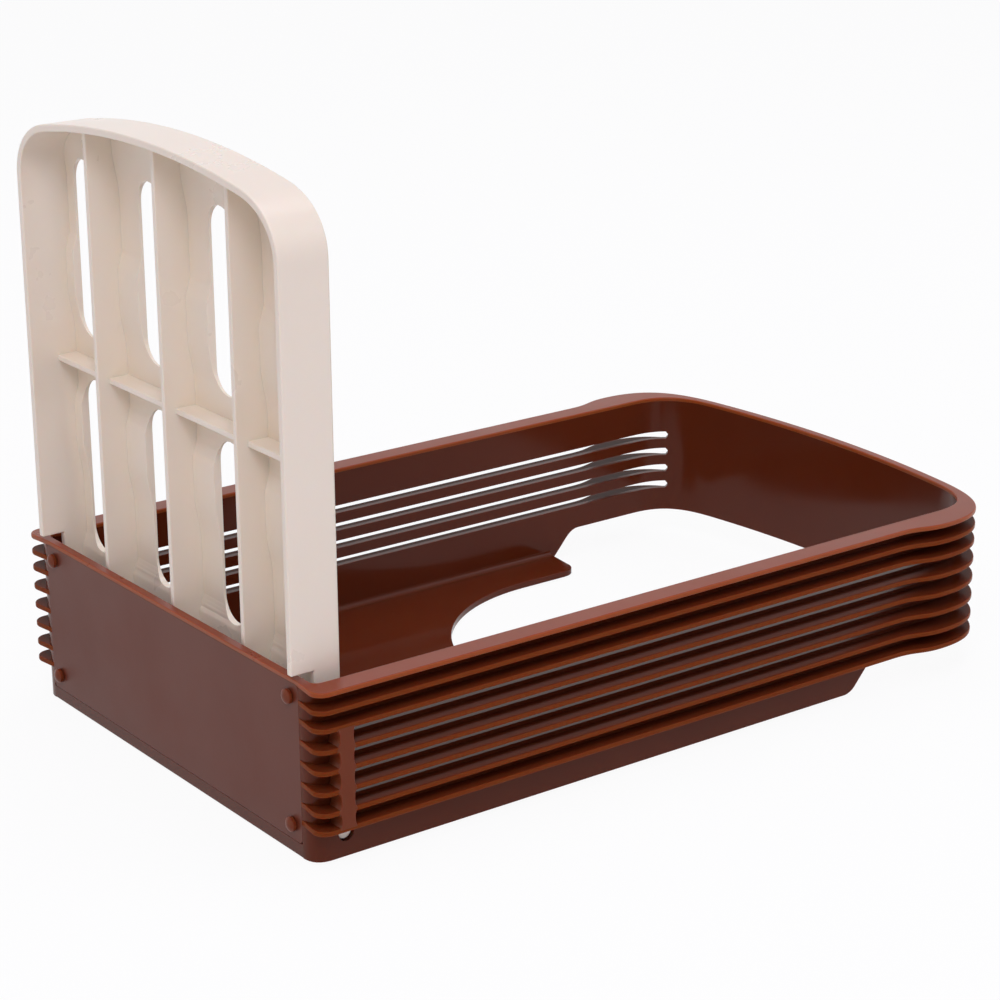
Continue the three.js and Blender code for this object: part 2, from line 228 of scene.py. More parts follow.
def divided(bm: BMesh, place: Sequence[float], normal: Sequence[float]) -> None:
    """Cuts new edges into a mesh along a plane.

    Args:
        bm: Mesh to divide.
        place: A point of the plane.
        normal: Normal of the plane.
    """
    bmesh.ops.bisect_plane(bm, geom=everything(bm), dist=CUT, plane_co=place, plane_no=normal)


def without(bm: BMesh, doomed: Callable[[Vector], bool]) -> None:
    """Deletes the faces whose middle meets a condition.

    Args:
        bm: Mesh that loses them.
        doomed: Tells from the middle of a face whether it goes.
    """
    faces = [face for face in bm.faces if doomed(face.calc_center_median())]
    bmesh.ops.delete(bm, geom=faces, context="FACES")


def turned_out(bm: BMesh, axis: int) -> None:
    """Makes every face of an open skin point outwards.

    Args:
        bm: The whole skin, its faces already turned alike.
        axis: Number of the axis along which its outermost face is looked for.
    """
    bm.normal_update()
    probe = max(bm.faces, key=lambda face: face.calc_center_median()[axis])
    if probe.normal[axis] < 0:
        bmesh.ops.reverse_faces(bm, faces=bm.faces)


def mirrored(bm: BMesh) -> BMesh:
    """Adds the other half of a mesh across the middle plane of the tray.

    Args:
        bm: The half on the left side; its faces on the middle plane go.

    Returns:
        The same mesh, now whole.
    """
    without(bm, lambda centre: abs(centre.y) < WELD)
    bmesh.ops.mirror(bm, geom=everything(bm), axis="Y", merge_dist=WELD)
    bmesh.ops.remove_doubles(bm, verts=bm.verts, dist=WELD)
    bmesh.ops.recalc_face_normals(bm, faces=bm.faces)
    return bm


def linked(name: str, data: bpy.types.ID) -> Object:
    """Adds an object to the scene.

    Args:
        name: Name of the object.
        data: Its mesh, lamp or camera.

    Returns:
        The new object.
    """
    made = bpy.data.objects.new(name, data)
    bpy.context.scene.collection.objects.link(made)
    return made


def baked(name: str, bm: BMesh) -> bpy.types.Mesh:
    """Turns a mesh under work into a finished one.

    Args:
        name: Name of the finished mesh.
        bm: Mesh under work; it is freed.

    Returns:
        The finished mesh.
    """
    mesh = bpy.data.meshes.new(name)
    bm.to_mesh(mesh)
    bm.free()
    return mesh


def joined(parts: Iterable[BMesh]) -> BMesh:
    """Puts several meshes into one.

    Args:
        parts: Meshes to gather; each is freed.

    Returns:
        The gathered mesh.
    """
    whole = bmesh.new()
    for part in parts:
        holder = baked("gathering", part)
        whole.from_mesh(holder)
        bpy.data.meshes.remove(holder)
    return whole


# Finishes


def feed(made: Node, feeds: dict[int | str, object]) -> None:
    """Links or sets the inputs of a shader node.

    Args:
        made: The node.
        feeds: By input, a node for its first output, a socket, or a plain value.
    """
    for entry, value in feeds.items():
        source = value.outputs[0] if isinstance(value, Node) else value
        if isinstance(source, NodeSocket):
            made.id_data.links.new(source, made.inputs[entry])
        else:
            made.inputs[entry].default_value = source


def node(tree: NodeTree, kind: str, *first: object, **values: object) -> Node:
    """Adds a shader node, sets it up and feeds it.

    Args:
        tree: Node tree that takes it.
        kind: Type name of the node, without ShaderNode.
        first: Feeds of its first inputs.
        values: Attributes of the node, or feeds by name with spaces as underscores.

    Returns:
        The new node.
    """
    made = tree.nodes.new(f"ShaderNode{kind}")
    feeds = dict(enumerate(first))
    for name, value in values.items():
        if hasattr(made, name):
            setattr(made, name, value)
        else:
            feeds[name.replace("_", " ")] = value
    feed(made, feeds)
    return made


def open_group(name: str, kind: str, *inputs: str) -> tuple[NodeTree, NodeOutputs]:
    """Starts a shader node group.

    Args:
        name: Name of the group.
        kind: Kind of its inputs, Color or Float.
        inputs: Their names.

    Returns:
        The group and the sockets that carry its inputs.
    """
    tree = bpy.data.node_groups.new(name, "ShaderNodeTree")
    for title in inputs:
        tree.interface.new_socket(name=title, in_out="INPUT", socket_type=f"NodeSocket{kind}")
    return tree, tree.nodes.new("NodeGroupInput").outputs


def close_group(tree: NodeTree, kind: str, **results: Node | NodeSocket) -> NodeTree:
    """Ends a shader node group.

    Args:
        tree: The group.
        kind: Kind of its outputs, Color or Float.
        results: Feeds of the outputs.

    Returns:
        The group.
    """
    for title in results:
        tree.interface.new_socket(name=title, in_out="OUTPUT", socket_type=f"NodeSocket{kind}")
    feed(tree.nodes.new("NodeGroupOutput"), results)
    return tree


@cache
def colour_drift_group() -> NodeTree:
    """Builds the group that lets a moulded colour drift slowly and fleck finely.

    Returns:
        The group: base and second colour in, colour out.
    """
    tree, entry = open_group("moulded_colour_drift", "Color", "Base", "Second")
    place = node(tree, "TexCoord").outputs["Object"]
    patch = node(tree, "TexNoise", Vector=place, Scale=14.0, Detail=4.0, Roughness=0.55)
    fleck = node(tree, "TexNoise", Vector=place, Scale=900.0, Detail=2.0, Roughness=0.6)
    soft = node(tree, "MapRange", patch, From_Min=0.32, From_Max=0.68)
    share = node(tree, "Math", fleck, 0.2, operation="MULTIPLY")
    total = node(tree, "Math", soft, share, operation="ADD", use_clamp=True)
    mix = node(tree, "Mix", total, data_type="RGBA", A=entry["Base"], B=entry["Second"])
    return close_group(tree, "Color", Color=mix.outputs["Result"])


@cache
def handled_surface_group() -> NodeTree:
    """Builds the group for mould grain, fine scratches and a roughness that varies with handling.

    Returns:
        The group: roughness range in, roughness and height out.
    """
    titles = ("Smoothest", "Roughest", "Grain Scale", "Grain Height", "Scratch Height")
    tree, entry = open_group("handled_surface", "Float", *titles)
    place = node(tree, "TexCoord").outputs["Object"]
    smear = node(tree, "TexNoise", Vector=place, Scale=32.0, Detail=5.0, Roughness=0.6)
    grain = node(
        tree, "TexNoise", Vector=place, Scale=entry["Grain Scale"], Detail=3.0, Roughness=0.5
    )
    stretch = node(
        tree, "Mapping", place, Scale=(60.0, 60.0, 1600.0), Rotation=(0.12, 0.2, 0.05)
    )
    scratch = node(tree, "TexNoise", Vector=stretch, Scale=1.0, Detail=2.0, Roughness=0.7)
    line = node(tree, "MapRange", scratch, From_Min=0.66, From_Max=0.74)
    low, high = entry["Smoothest"], entry["Roughest"]
    level = node(tree, "MapRange", smear, From_Min=0.3, From_Max=0.7, To_Min=low, To_Max=high)
    rise = node(tree, "Math", grain, entry["Grain Height"], operation="MULTIPLY")
    cut = node(tree, "Math", line, entry["Scratch Height"], operation="MULTIPLY")
    height = node(tree, "Math", rise, cut, operation="SUBTRACT")
    return close_group(tree, "Float", Roughness=level, Height=height)


@cache
def painted_edge_glow_group() -> NodeTree:
    """Builds the group that paints a glow onto the edges of thin level plates, for light that
    comes through them.

    Returns:
        The group: colour of the flats and the painted glow colour of the edges in, colour out.
    """
    tree, entry = open_group("painted_edge_glow", "Color", "Flat", "Edge")
    normal = node(tree, "TexCoord").outputs["Normal"]
    up = node(tree, "SeparateXYZ", normal).outputs["Z"]
    level = node(tree, "Math", up, operation="ABSOLUTE")
    # Painted glow mask: one where the faces of a level plate tilt away from level, at its edges
    share = node(
        tree, "MapRange", level, interpolation_type="SMOOTHSTEP", From_Min=0.97, From_Max=0.60
    )
    mix = node(tree, "Mix", share, data_type="RGBA", A=entry["Flat"], B=entry["Edge"])
    return close_group(tree, "Color", Color=mix.outputs["Result"])


@dataclass(frozen=True)
class MouldedPlastic:
    """A moulded plastic with a slow drift of colour, a fine grain and light handling marks."""

    name: str
    slot: str
    base: Triple
    second: Triple
    smoothest: float
    roughest: float
    grain_scale: float
    grain_height: float
    scratch_height: float
    glow_depth: float
    glow_weight: float
    glow_reach: Triple
    gloss: float = 0.5
    # Colour painted onto the edges of level plates: a painted glow for light that comes through
    # them; None paints none
    edge: Triple | None = None

    def material(self) -> Material:
        """Returns the material, built the first time it is asked for."""
        return bpy.data.materials.get(self.name) or self._build()

    def _build(self) -> Material:
        """Builds the material.

        Returns:
            The new material.
        """
        material = bpy.data.materials.new(self.name)
        material.use_nodes = True
        tree = material.node_tree
        base, second = (*self.base, 1.0), (*self.second, 1.0)
        colour = node(tree, "Group", node_tree=colour_drift_group(), Base=base, Second=second)
        # Paints the glow colour onto the edges of level plates, standing in for light that comes
        # through them
        if self.edge:
            edge = (*self.edge, 1.0)
            colour = node(tree, "Group", node_tree=painted_edge_glow_group(), Flat=colour, Edge=edge)
        marks = node(
            tree,
            "Group",
            node_tree=handled_surface_group(),
            Smoothest=self.smoothest,
            Roughest=self.roughest,
            Grain_Scale=self.grain_scale,
            Grain_Height=self.grain_height,
            Scratch_Height=self.scratch_height,
        )
        height = marks.outputs["Height"]
        feeds = {
            "Base Color": colour,
            "Roughness": marks.outputs["Roughness"],
            "Normal": node(tree, "Bump", Height=height, Strength=0.35, Distance=0.00004),
            "IOR": 1.53,
            "Subsurface Weight": self.glow_weight,
            "Subsurface Scale": self.glow_depth,
            "Subsurface Radius": self.glow_reach,
            "Specular IOR Level": self.gloss,
        }
        feed(tree.nodes["Principled BSDF"], feeds)
        return material


BROWN_GLOSS = MouldedPlastic(
    name="brown_gloss_plastic",
    slot="shell",
    base=(0.122, 0.0225, 0.0070),
    second=(0.108, 0.0190, 0.0058),
    smoothest=0.10,
    roughest=0.19,
    grain_scale=1500.0,
    grain_height=0.12,
    scratch_height=0.04,
    glow_depth=0.001,
    glow_weight=0.7,
    glow_reach=(1.5, 0.32, 0.12),
    gloss=0.13,
)
# Ribs with a painted glow on their edges, standing in for light that comes through the thin
# plates
BROWN_RIB_PAINTED_GLOW = replace(
    BROWN_GLOSS,
    name="brown_rib_painted_glow_plastic",
    base=(0.130, 0.0235, 0.0068),
    second=(0.115, 0.0200, 0.0057),
    edge=(0.185, 0.0410, 0.0090),
    smoothest=0.17,
    roughest=0.25,
    glow_weight=0.8,
    gloss=0.02,
)
# The rim painted about twice as bright as the wall, with a brighter glow painted on its edges:
# painted light for the light that comes through the thin rim from above
BROWN_RIM_PAINTED_GLOW = replace(
    BROWN_GLOSS,
    name="brown_rim_painted_glow_plastic",
    base=(0.255, 0.0465, 0.0154),
    second=(0.224, 0.0400, 0.0129),
    edge=(0.310, 0.0680, 0.0130),
    smoothest=0.26,
    roughest=0.38,
    glow_weight=0.8,
    gloss=0.17,
)
BROWN_STUD = replace(
    BROWN_GLOSS,
    name="brown_stud_plastic",
    base=(0.175, 0.0350, 0.0095),
    second=(0.160, 0.0310, 0.0083),
    smoothest=0.28,
    roughest=0.40,
    gloss=0.20,
)
BROWN_PANEL = replace(
    BROWN_GLOSS,
    name="brown_satin_plastic",
    base=(0.138, 0.0275, 0.0110),
    second=(0.122, 0.0235, 0.0092),
    smoothest=0.32,
    roughest=0.44,
    grain_scale=1300.0,
    grain_height=0.7,
    scratch_height=0.12,
    glow_weight=0.5,
    glow_reach=(1.2, 0.32, 0.12),
    gloss=0.2,
)
IVORY = MouldedPlastic(
    name="ivory_plastic",
    slot="loaf_board",
    base=(0.84, 0.750, 0.618),
    second=(0.825, 0.730, 0.594),
    smoothest=0.26,
    roughest=0.36,
    grain_scale=1200.0,
    grain_height=0.2,
    scratch_height=0.05,
    glow_depth=0.0015,
    glow_weight=0.25,
    glow_reach=(1.0, 0.5, 0.3),
    gloss=0.65,
)

# The same plastic painted warmer for the web: painted warm light, standing in for the light that
# comes through where the plastic is thin.
IVORY_PAINTED_WARM_LIGHT = replace(
    IVORY,
    name="ivory_painted_warm_light_plastic",
    base=(0.838, 0.740, 0.597),
    second=(0.824, 0.722, 0.574),
)


@dataclass
class Piece:
    """One named mesh with its finish, its body and the solid that it stands for."""

    name: str
    finish: MouldedPlastic
    body: Body
    stands_for: str
    edge_round: float
    edge_steps: int = 2
    wall: float = 0.0

    def place(self, bm: BMesh) -> Object:
        """Moves a finished mesh into the frame and makes it a riding piece.

        Args:
            bm: Mesh in millimetres, measured from the tips of the end studs.

        Returns:
            The new object, at the origin, with its place in its mesh.
        """
        shift = Matrix.Translation((-TRAY_LENGTH / 2, 0.0, 0.0))
        bmesh.ops.transform(bm, matrix=shift, verts=bm.verts)
        bmesh.ops.scale(bm, vec=Vector((MM, MM, MM)), verts=bm.verts)
        for face in bm.faces:
            face.smooth = True
        for edge in bm.edges:
            edge.smooth = not (edge.is_manifold and edge.calc_face_angle(0.0) > SHARP)
        mesh = baked(self.name, bm)
        mesh.materials.append(self.finish.material())
        made = linked(self.name, mesh)
        self._finish_edges(made)
        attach(made, self.body.value)
        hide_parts(self.stands_for)
        LOG.info("%s: %d faces before its modifiers", self.name, len(mesh.polygons))
        return made

    def _finish_edges(self, made: Object) -> None:
        """Gives a shell its wall and rounds the edges.

        Args:
            made: Object that takes the modifiers.
        """
        if self.wall:
            wall = made.modifiers.new("wall", "SOLIDIFY")
            wall.thickness = self.wall * MM
            wall.offset = -1.0
            wall.use_even_offset = True
        if self.edge_round:
            rounding = made.modifiers.new("rounded_edges", "BEVEL")
            rounding.width = self.edge_round * MM
            rounding.segments = self.edge_steps
            rounding.limit_method = "ANGLE"
            rounding.angle_limit = SHARP
            rounding.harden_normals = True
            rounding.use_clamp_overlap = True


# The tray


@dataclass
class Tray:
    """The ribbed tray: wall, ribs, floor, closed end and guard bars."""

    panel_face: float = 1.9
    wall_half: float = 70.2
    wall_thickness: float = 1.8
    wall_stations: tuple[float, ...] = (60.0, 110.0, 160.0)
    rib_half: float = 75.0
    rib_thickness: float = 1.4
    rib_nose: float = 1.0
    rib_corner: float = 3.6
    rib_start: float = 64.5
    rib_sunk: float = 0.9
    rib_inner_corner: tuple[Plan, float, float] = ((2.6, 66.2), 2.8, 7.0)
    rim_proud: float = 0.04
    swollen_half: float = 77.7
    swell: Plan = (195.0, 211.0)
    swell_steps: int = 10
    bend_start: float = 215.7
    wall_far_end: float = 239.1
    base_top: float = 3.75
    recess_half: float = 64.8
    recess_back: float = 3.2
    recess_corner: float = 0.3
    end_inside: float = 4.3
    end_corner: float = 2.5
    end_margin: float = 0.4
    floor: float = 2.0
    floor_sunk: float = 0.5
    floor_edge: Plan = (68.4, 69.0)
    cove: float = 2.0
    skirt_end: float = 182.3
    skirt_slant: float = 8.0
    skirt_rounding: float = 2.5
    foot_rounding: float = 2.2
    opening_centre: float = 159.5
    opening_reach: float = 53.5
    opening_half: float = 53.8
    opening_steps: int = 30
    tab_end: float = 181.3
    tab_rounding: float = 5.5
    skirt_levels: Plan = (3.9, 8.9)
    pivot: Plan = PIVOT
    pivot_hole: float = 2.3
    slot_near: float = 8.35
    slot_far: float = 228.4
    rib_levels: tuple[float, ...] = (46.6, 41.85, 37.1, 31.5, 25.9, 20.3, 14.7, 9.8)
    slot_height: float = 2.4
    slot_drop: float = 1.4
    slot_rounding: float = 0.7
    bar_edges: Plan = (6.0, 12.0)
    bar_waists: Plan = (1.2, 0.8)
    bar_cover: float = 0.02
    bar_steps: int = 12
    bow: float = 3.8
    bow_half_width: float = 50.4
    bow_share: float = 0.66
    bow_steps: tuple[int, int] = (20, 10)

    def build(self) -> None:
        """Builds and dresses every piece of the tray."""
        for name, finish, rounding, steps, skin, shape in (
            ("tray_wall", BROWN_GLOSS, 0.22, 2, self.wall_thickness, self.wall),
            ("tray_ribs", BROWN_RIB_PAINTED_GLOW, 0.45, 3, 0.0, self.ribs),
            ("tray_rim", BROWN_RIM_PAINTED_GLOW, 0.38, 3, 0.0, self.rim),
            ("tray_floor", BROWN_GLOSS, 0.3, 2, 0.0, self.floor_plate),
            ("tray_closed_end", BROWN_GLOSS, 0.3, 2, 0.0, self.closed_end),
            ("tray_guard_bars", BROWN_STUD, 0.5, 3, 0.0, self.guard_bars),
        ):
            Piece(name, finish, Body.TRAY, "tray", rounding, steps, skin).place(shape())

    def far_half(self, bend_start: float, half: float, far_end: float) -> list[Plan]:
        """Draws the left half of the bowed far end, from the bend to the middle plane.

        Args:
            bend_start: Where the straight side ends.
            half: Distance of the straight side from the middle plane.
            far_end: Where the curve crosses the middle plane.

        Returns:
            The points, the first one left out.
        """
        bow, width = self.bow, self.bow_half_width
        edge = far_end - bow
        run, rise = self.bow_share * (edge - bend_start), self.bow_share * (half - width)
        handles = ((bend_start + run, half), (edge - 2 * bow / width * rise, width + rise))
        corner = curve(((bend_start, half), *handles, (edge, width)), self.bow_steps[0])
        middle = ((edge, width), (far_end + bow, 0.0), (edge, -width))
        return corner + curve(middle, self.bow_steps[1], until=0.5)

    def wall_path(self) -> list[Plan]:
        """Plan of the outside of the left half of the wall, from the recess to the middle.

        Returns:
            Points along the tray and across it.
        """
        start = (self.panel_face, self.recess_half)
        corner = (self.panel_face, self.wall_half)
        reach = self.wall_half - self.recess_half
        near = curve((start, corner, (self.panel_face + reach, self.wall_half)), CORNER_STEPS)
        cell = (self.slot_near, 2 * self.pivot[0] - self.slot_near)
        skirt = self.skirt_end + self.skirt_slant
        stations = (*cell, *self.wall_stations, skirt, self.bend_start)
        straight = [(x, self.wall_half) for x in stations]
        far = self.far_half(self.bend_start, self.wall_half, self.wall_far_end)
        inside_start = (self.recess_back + self.recess_corner, self.recess_half)
        return [inside_start, start, *near, *straight, *far]

    def slots(self) -> list[Plan]:
        """Lower and upper edge of each knife slot, the highest slot first."""
        tops = [rib - self.slot_drop for rib in self.rib_levels[2:6]]
        return [(top - self.slot_height, top) for top in tops]

    def underside(self) -> float:
        """Height at which the lowest rib begins."""
        return self.rib_levels[-1] - self.rib_thickness / 2

    def wall(self) -> BMesh:
        """The wall as a single skin, with its knife slots and pivot holes open.

        Returns:
            Both halves in one mesh, without thickness.
        """
        bm = bmesh.new()
        edges = [edge for slot in reversed(self.slots()) for edge in slot]
        levels = [0.0, *self.skirt_levels, self.underside(), *edges, self.rib_levels[0]]
        row = chain(bm, [(x, y, 0.0) for x, y in self.wall_path()])
        for low, high in zip(levels, levels[1:]):
            row = drawn(bm, row, (0.0, 0.0, high - low))
        self._open_slots(bm)
        self._cut_skirt(bm)
        self._open_pivot(bm)
        mirrored(bm)
        turned_out(bm, axis=0)
        return bm

    def _open_slots(self, bm: BMesh) -> None:
        """Removes the faces of the knife slots.

        Args:
            bm: The left half of the wall.
        """
        divided(bm, (self.slot_far, 0, 0), (1, 0, 0))
        without(
            bm,
            lambda centre: self.slot_near < centre.x < self.slot_far
            and any(low < centre.z < high for low, high in self.slots()),
        )
        self._round_slot_ends(bm)

    def _round_slot_ends(self, bm: BMesh) -> None:
        """Draws in the two corners at the far end of each slot.

        Args:
            bm: The left half of the wall.
        """
        levels = [level for slot in self.slots() for level in slot]
        ends = [
            edge
            for edge in bm.edges
            if edge.is_boundary
            and all(abs(vert.co.x - self.slot_far) < NEAR < vert.co.z for vert in edge.verts)
            and edge.calc_length() < self.slot_height + NEAR
        ]
        bmesh.ops.subdivide_edges(bm, edges=ends, cuts=2)
        corners = [
            vert
            for vert in bm.verts
            if abs(vert.co.x - self.slot_far) < NEAR
            and min(abs(vert.co.z - level) for level in levels) < NEAR
        ]
        for vert in corners:
            beside = [edge.other_vert(vert) for edge in vert.link_edges if edge.is_boundary]
            near = min(beside, key=lambda other: other.co.x)
            share = self.slot_rounding / (vert.co - near.co).length
            vert.co = vert.co.lerp(near.co, min(0.9, share))

    def _cut_skirt(self, bm: BMesh) -> None:
        """Ends the plain lower strip in its slanted edge.

        Args:
            bm: The left half of the wall.
        """
        underside = self.underside()
        end = self.skirt_end + self.skirt_slant
        without(bm, lambda centre: centre.x > end and centre.z < underside)
        edge = [v for v in bm.verts if abs(v.co.x - end) < NEAR and v.co.z < underside - NEAR]
        for vert in edge:
            vert.co.x -= self.skirt_slant * (1 - vert.co.z / underside)
        foot = [vert for vert in edge if vert.co.z < NEAR]
        settings = {"segments": 4, "profile": 0.5, "affect": "VERTICES", "material": -1}
        bmesh.ops.bevel(bm, geom=foot, offset=self.foot_rounding, **settings)
        self._round_inner_corner(bm, end, underside)

    def _round_inner_corner(self, bm: BMesh, end: float, underside: float) -> None:
        """Fills the corner between the slanted edge and the lowest rib with a rounding.

        Args:
            bm: The left half of the wall.
            end: Place of the corner along the tray.
            underside: Height of the corner.
        """
        slope, r = self.skirt_slant / underside, self.skirt_rounding
        low, high = self.skirt_levels

        def at(x: float, z: float) -> BMVert:
            """Returns the vertex of the wall that is nearest to a place."""
            target = Vector((x, self.wall_half, z))
            return min(bm.verts, key=lambda vert: (vert.co - target).length)

        def split(a: BMVert, b: BMVert, share: float) -> BMVert:
            """Adds a vertex on the edge from a to b and returns it."""
            return bmesh.utils.edge_split(bm.edges.get((a, b)), a, share)[1]

        corner = at(end, underside)
        above = at(end - slope * (underside - high), high)
        below = at(end - slope * (underside - low), low)
        first = split(corner, at(self.bend_start, underside), r / (self.bend_start - end))
        last = split(above, below, (high - underside + r) / (high - low))
        handles = ((end + r, underside), (end, underside), (end - slope * r, underside - r))
        middle = [bm.verts.new((x, self.wall_half, z)) for x, z in curve(handles, 6)[:-1]]
        bm.faces.new((corner, first, *middle, last, above))

    def _open_pivot(self, bm: BMesh) -> None:
        """Opens the round hole that the hinge pin shows through.

        Args:
            bm: The left half of the wall.
        """
        place = Vector((self.pivot[0], self.wall_half, self.pivot[1]))
        cell = min(bm.faces, key=lambda face: (face.calc_center_median() - place).length)
        frame_edges = list(cell.edges)
        bmesh.ops.delete(bm, geom=[cell], context="FACES_ONLY")
        turn = Matrix.Translation(place) @ Matrix.Rotation(math.pi / 2, 4, "X")
        ring = bmesh.ops.create_circle(bm, radius=self.pivot_hole, segments=SIDES, matrix=turn)
        edges = {edge for vert in ring["verts"] for edge in vert.link_edges}
        bmesh.ops.bridge_loops(bm, edges=frame_edges + list(edges))

    def rib_path(self) -> list[Plan]:
        """Plan of the outside of the left half of a rib, from the end panel to the middle.

        Returns:
            Points along the tray and across it.
        """
        nose, half, corner = self.rib_nose, self.rib_half, self.rib_corner
        reach = (1 - HANDLE) * corner
        start, end = (nose, half - corner), (nose + corner, half)
        turn = curve((start, (nose, half - reach), (nose + reach, half), end), CORNER_STEPS)
        first, last = self.swell
        middle, top = (first + last) / 2, self.swollen_half
        handles = ((first, half), (middle, half), (middle, top), (last, top))
        ear = [handles[0], *curve(handles, self.swell_steps)]
        far = self.far_half(last, top, TRAY_LENGTH)
        return [(self.panel_face, self.rib_start), start, *turn, *ear, *far]

    def inner_edge(self, start: Plan, handle: float, end: float, half: float,
                   far_end: float) -> list[Plan]:
        """Plan of the left half of an inner edge, point for point with the outside.

        Args:
            start: Where its rounded corner begins.
            handle: Place along the tray of the handle of that corner.
            end: Place along the tray where that corner ends.
            half: Distance of its straight side from the middle plane.
            far_end: Where it crosses the middle plane.

        Returns:
            The points from the end panel to the middle plane.
        """
        turn = curve((start, (handle, half), (end, half)), CORNER_STEPS)
        first, last, steps = self.swell[0], self.bend_start, self.swell_steps
        straight = [(first + (last - first) * k / steps, half) for k in range(steps + 1)]
        far = self.far_half(last, half, far_end)
        return [(start[0], self.rib_start), start, *turn, *straight, *far]

    def ring(self, outer: list[Plan], inner: list[Plan], level: float) -> BMesh:
        """A flat ring between two plans that match point for point.

        Args:
            outer: Left half of its outside.
            inner: Left half of its inside.
            level: Height of its middle.

        Returns:
            The whole ring.
        """
        bm = bmesh.new()
        low = level - self.rib_thickness / 2
        outside = [bm.verts.new((x, y, low)) for x, y in outer]
        inside = [bm.verts.new((x, y, low)) for x, y in inner]
        for k in range(len(outer) - 1):
            bm.faces.new((outside[k], outside[k + 1], inside[k + 1], inside[k]))
        out = bmesh.ops.extrude_face_region(bm, geom=list(bm.faces), use_keep_orig=True)
        bmesh.ops.translate(bm, vec=(0, 0, self.rib_thickness), verts=vertices(out["geom"]))
        return mirrored(bm)

    def ribs(self) -> BMesh:
        """The seven ribs below the rim, each a flat ring sunk in the wall.

        Returns:
            All seven in one mesh.
        """
        half, far_end = self.wall_half - self.rib_sunk, self.wall_far_end - self.rib_sunk
        inner = self.inner_edge(*self.rib_inner_corner, half, far_end)
        return joined(self.ring(self.rib_path(), inner, level) for level in self.rib_levels[1:])

    def rim(self) -> BMesh:
        """The rim over the wall and the closed end, a hair proud of the cavity all round.

        Returns:
            The mesh of the whole ring.
        """
        wall, corner = self.wall_thickness + self.rim_proud, self.end_corner
        half, near = self.wall_half - wall, self.end_inside + self.rim_proud
        start, far_end = (near, half - corner), self.wall_far_end - wall
        inner = self.inner_edge(start, near, near + corner, half, far_end)
        outer = [(self.panel_face, 0.0), *self.rib_path()]
        return self.ring(outer, [(near, 0.0), *inner], self.rib_levels[0])

    def floor_plate(self) -> BMesh:
        """The floor with its rounded opening and the coves along both walls.

        Returns:
            The plate and both coves in one mesh.
        """
        near, half = self.end_inside - self.floor_sunk, self.opening_half
        tab, r = self.tab_end, self.tab_rounding
        points = [(near, 0.0)]
        for x, y in arc((0.0, 0.0), 1.0, 180, 90, self.opening_steps):
            points.append((self.opening_centre + self.opening_reach * x, half * y))
        handles = ((tab - r, half), (tab, half), (tab, half + r))
        points += [handles[0], *curve(handles, CORNER_STEPS)]
        points += [(self.skirt_end, y) for y in self.floor_edge] + [(near, self.floor_edge[1])]
        plate = prism([(x, y, 0.0) for x, y in points], (0, 0, self.floor))
        return joined([mirrored(plate), *(self.floor_cove(side) for side in Side)])

    def floor_cove(self, side: Side) -> BMesh:
        """The hollow rounding between the floor and one wall.

        Args:
            side: Side of the tray.

        Returns:
            The rounding, sunk a little in both.
        """
        sunk, r = self.floor_sunk, self.cove
        inside, low = self.wall_half - self.wall_thickness, self.floor - sunk
        hollow = arc((inside - r, self.floor + r), r, 0, -90, 6)
        behind = inside + sunk
        profile = [(behind, low), (behind, self.floor + r), *hollow, (inside - r, low)]
        length = self.skirt_end - sunk - self.end_inside
        return prism([(self.end_inside, side.value * y, z) for y, z in profile], (length, 0, 0))

    def closed_end(self) -> BMesh:
        """The end wall with the recess for the panel, under the rim and above the base strip.

        Returns:
            The mesh of the end wall.
        """
        base, rim = self.base_top, self.rib_levels[0]
        face, back, inside = self.panel_face, self.recess_back, self.end_inside
        profile = [(face, 0.0), (face, base), (back, base), (back, rim)]
        profile += [(inside, rim), (inside, 0.0)]
        half = self.recess_half + self.end_margin
        return prism([(x, -half, z) for x, z in profile], (0, 2 * half, 0))

    def guard_bars(self) -> BMesh:
        """The upright bars that close the knife slots at the board end, narrower between ribs.

        Returns:
            Both bars in one mesh.
        """
        levels = self.rib_levels[:1:-1]
        waists = []
        for below, above in zip(levels, levels[1:]):
            for share in (k / self.bar_steps for k in range(self.bar_steps)):
                waists.append((below + (above - below) * share, 1 - abs(2 * share - 1) ** 3))
        waists.append((levels[-1], 0.0))
        (near, far), (near_waist, far_waist) = self.bar_edges, self.bar_waists
        outline = [(near + near_waist * waist, z) for z, waist in waists]
        outline += [(far - far_waist * waist, z) for z, waist in reversed(waists)]
        start, end = self.wall_half - self.rib_sunk, self.rib_half + self.bar_cover
        bars = []
        for side in Side:
            face = [(x, side.value * start, z) for x, z in outline]
            bars.append(prism(face, (0, side.value * (end - start), 0)))
        return joined(bars)


